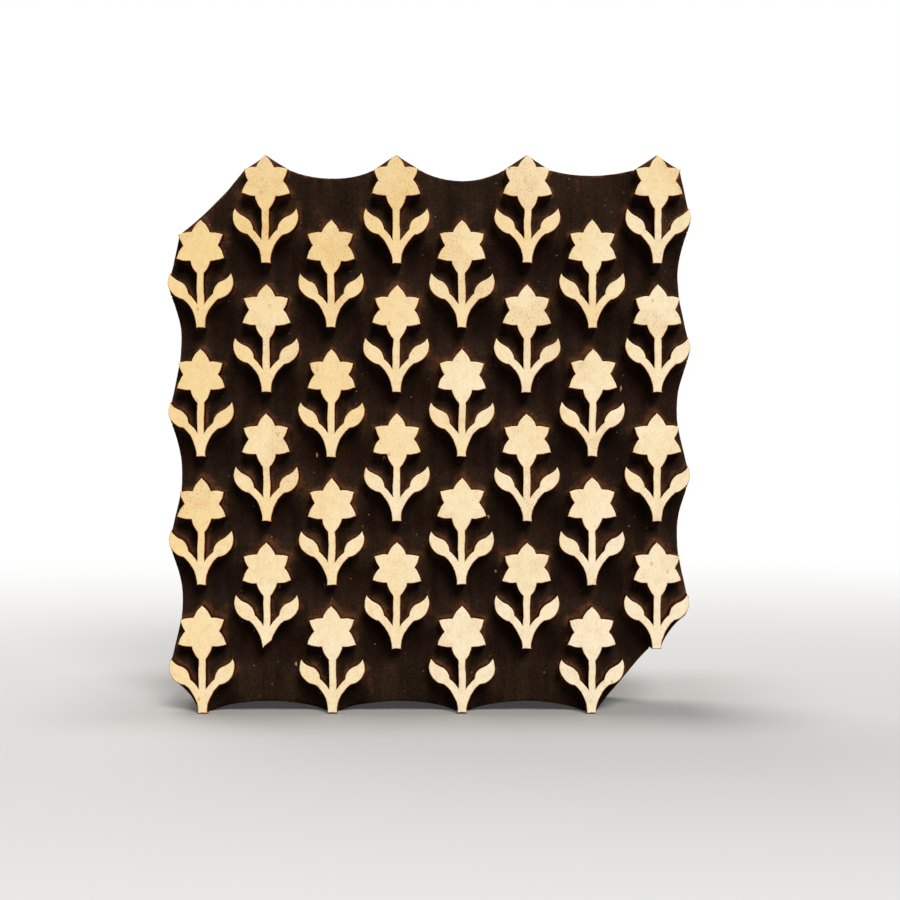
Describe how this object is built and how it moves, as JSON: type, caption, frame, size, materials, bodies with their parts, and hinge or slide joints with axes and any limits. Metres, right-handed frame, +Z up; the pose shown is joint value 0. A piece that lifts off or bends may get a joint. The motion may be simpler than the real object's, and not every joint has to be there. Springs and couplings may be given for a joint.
{
  "type": "wooden textile printing block",
  "caption": "Hand block for printing cloth: a carved wooden face of flower sprigs, sawn to a scalloped outline, on cross-grained backing boards with an arched handle.",
  "frame": {"origin": "on the surface that the block stands on, under the middle of its box", "axes": "+X to the right along the printing face, +Y from the printing face to the handle, +Z up along the stems of the sprigs"},
  "size_m": [0.1996, 0.088, 0.2133],
  "materials": {
    "carved_face": "stained dark in the ground, sanded pale on the raised sprigs",
    "core_wood": "sawn and stained",
    "back_wood": "planed and worn",
    "peg_wood": "end grain",
    "handle_wood": "polished by handling",
    "screw_iron": "dull, lightly rusted"
  },
  "bodies": {
    "root": {"printing_plank": "carved_face", "core_board_lower": "core_wood", "core_board_middle": "core_wood", "core_board_upper": "core_wood", "back_board_left": "back_wood", "back_board_centre": "back_wood", "back_board_right": "back_wood", "pegs": "peg_wood", "handle": "handle_wood", "handle_screws": "screw_iron"}
  },
  "joints": []
}
